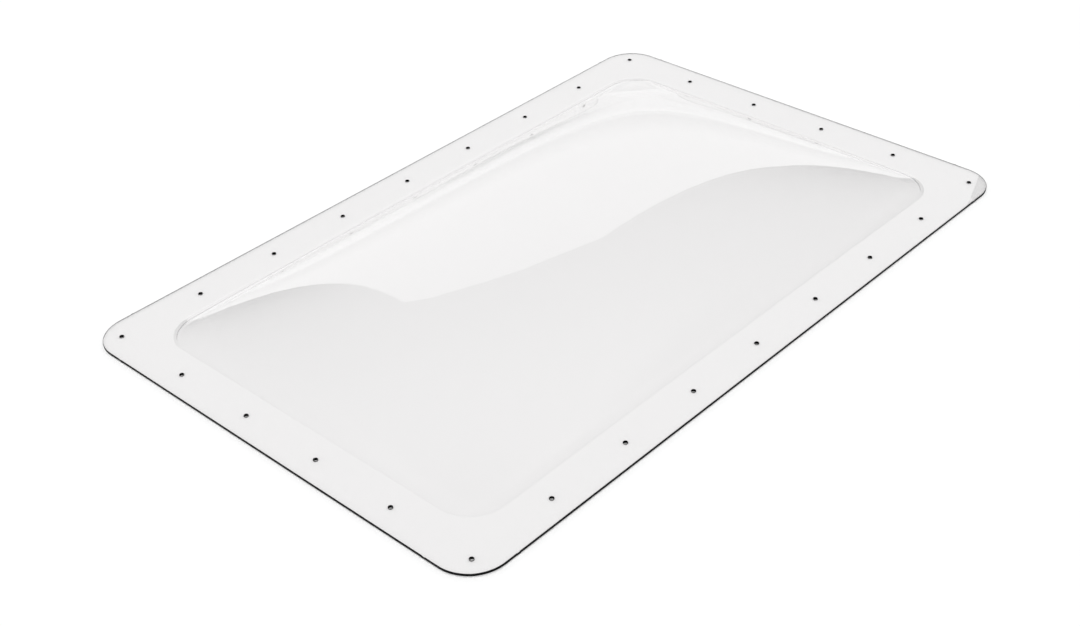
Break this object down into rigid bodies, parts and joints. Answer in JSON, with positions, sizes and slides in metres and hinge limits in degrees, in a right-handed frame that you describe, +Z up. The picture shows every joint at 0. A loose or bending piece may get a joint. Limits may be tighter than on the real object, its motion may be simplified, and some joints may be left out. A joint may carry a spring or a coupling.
{
  "type": "rv skylight dome",
  "caption": "Low clear blown dome with a wide flat flange, screw holes all round its edge and a foam seal under it, for covering an opening in a vehicle roof.",
  "frame": {"origin": "middle of the seal's underside, which rests on the roof", "axes": "+X along the long sides, +Y across, +Z up out of the roof, towards the crown"},
  "size_m": [0.8636, 0.5588, 0.0812],
  "materials": {
    "clear_polycarbonate": "clear gloss sheet with dark cut edges",
    "white_foam": "matt closed-cell foam"
  },
  "bodies": {
    "root": {"skylight_dome": "clear_polycarbonate", "flange_seal": "white_foam"}
  },
  "joints": []
}
